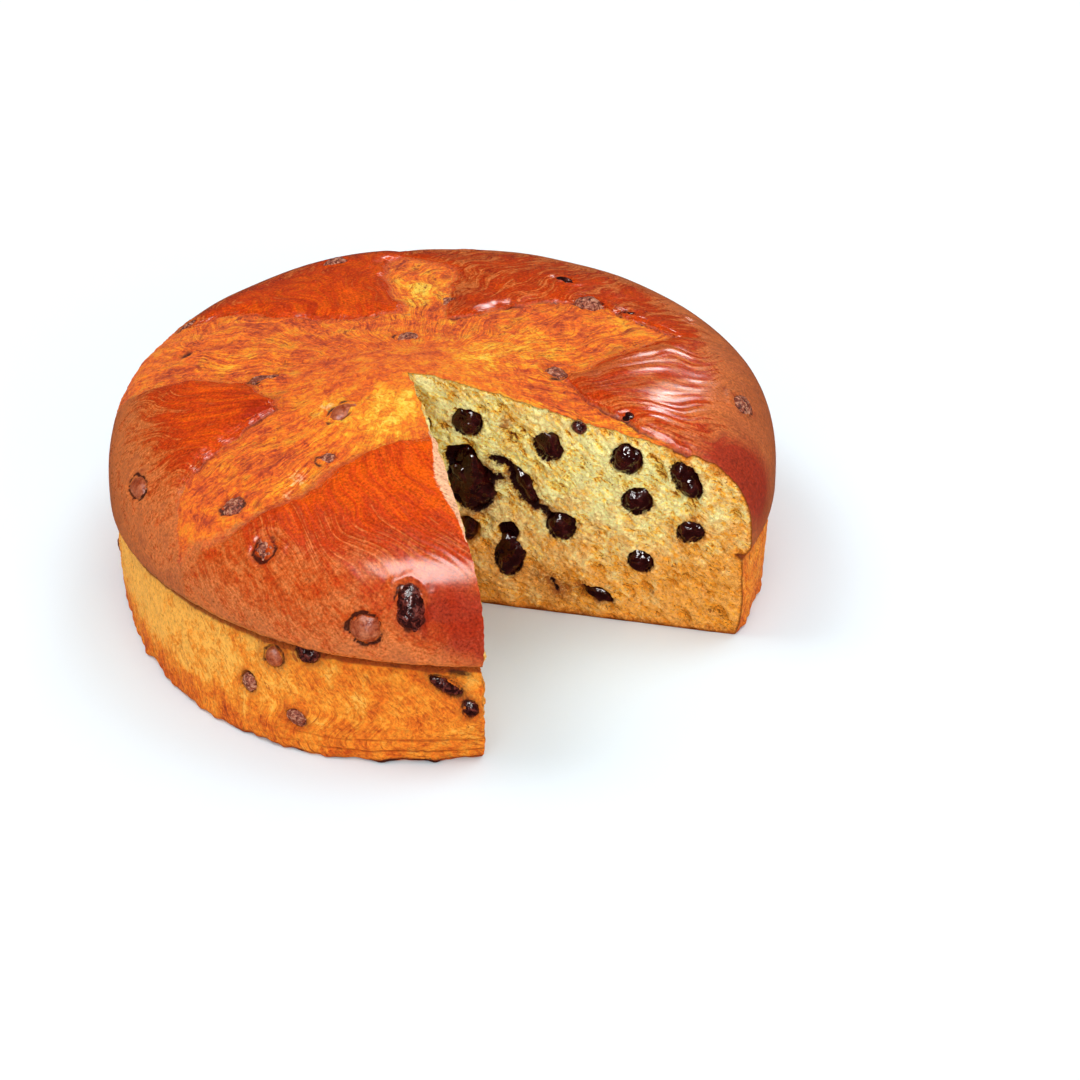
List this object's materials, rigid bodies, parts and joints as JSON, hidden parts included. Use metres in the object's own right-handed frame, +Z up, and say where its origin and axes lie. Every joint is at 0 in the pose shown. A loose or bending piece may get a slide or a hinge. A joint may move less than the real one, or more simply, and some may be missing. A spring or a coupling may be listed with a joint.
{
  "type": "panettone",
  "caption": "Low, domed chocolate panettone with one slice cut out, showing a yellow crumb with dark chocolate drops.",
  "frame": {"origin": "on the resting surface, under the middle of the loaf's box", "axes": "+Z up, -Y to the loaf's front and +X to its right; the slice came out of the front right"},
  "size_m": [0.2098, 0.2246, 0.0809],
  "materials": {
    "bread": "baked crust, golden brown to dark brown and partly shiny, with a yellow open crumb on the cut faces",
    "chocolate": "dark chocolate, shiny where cut or melted and dull brown where baked on the crust"
  },
  "bodies": {
    "root": {"bread": "bread", "drop_crust_01": "chocolate", "drop_crust_02": "chocolate", "drop_crust_03": "chocolate", "drop_crust_04": "chocolate", "drop_crust_05": "chocolate", "drop_crust_06": "chocolate", "drop_crust_07": "chocolate", "drop_crust_08": "chocolate", "drop_crust_09": "chocolate", "drop_crust_10": "chocolate", "drop_crust_11": "chocolate", "drop_crust_12": "chocolate", "drop_crust_13": "chocolate", "drop_crust_14": "chocolate", "drop_crust_15": "chocolate", "drop_crust_16": "chocolate", "drop_crust_17": "chocolate", "drop_crust_18": "chocolate", "drop_crust_19": "chocolate", "drop_crust_20": "chocolate", "drop_left_face_01": "chocolate", "drop_left_face_02": "chocolate", "drop_left_face_03": "chocolate", "drop_left_face_04": "chocolate", "drop_left_face_05": "chocolate", "drop_left_face_06": "chocolate", "drop_left_face_07": "chocolate", "drop_left_face_08": "chocolate", "drop_right_face_01": "chocolate", "drop_right_face_02": "chocolate", "drop_right_face_03": "chocolate", "drop_right_face_04": "chocolate", "drop_right_face_05": "chocolate", "drop_right_face_06": "chocolate", "drop_right_face_07": "chocolate", "drop_right_face_08": "chocolate", "drop_right_face_09": "chocolate", "drop_right_face_10": "chocolate", "drop_right_face_11": "chocolate", "drop_right_face_12": "chocolate", "drop_right_face_13": "chocolate", "drop_side_01": "chocolate", "drop_side_02": "chocolate", "drop_side_03": "chocolate", "drop_side_04": "chocolate", "drop_side_05": "chocolate", "drop_side_06": "chocolate", "drop_side_07": "chocolate", "drop_side_08": "chocolate", "drop_side_09": "chocolate", "drop_side_10": "chocolate", "drop_side_11": "chocolate", "drop_side_12": "chocolate"}
  },
  "joints": []
}
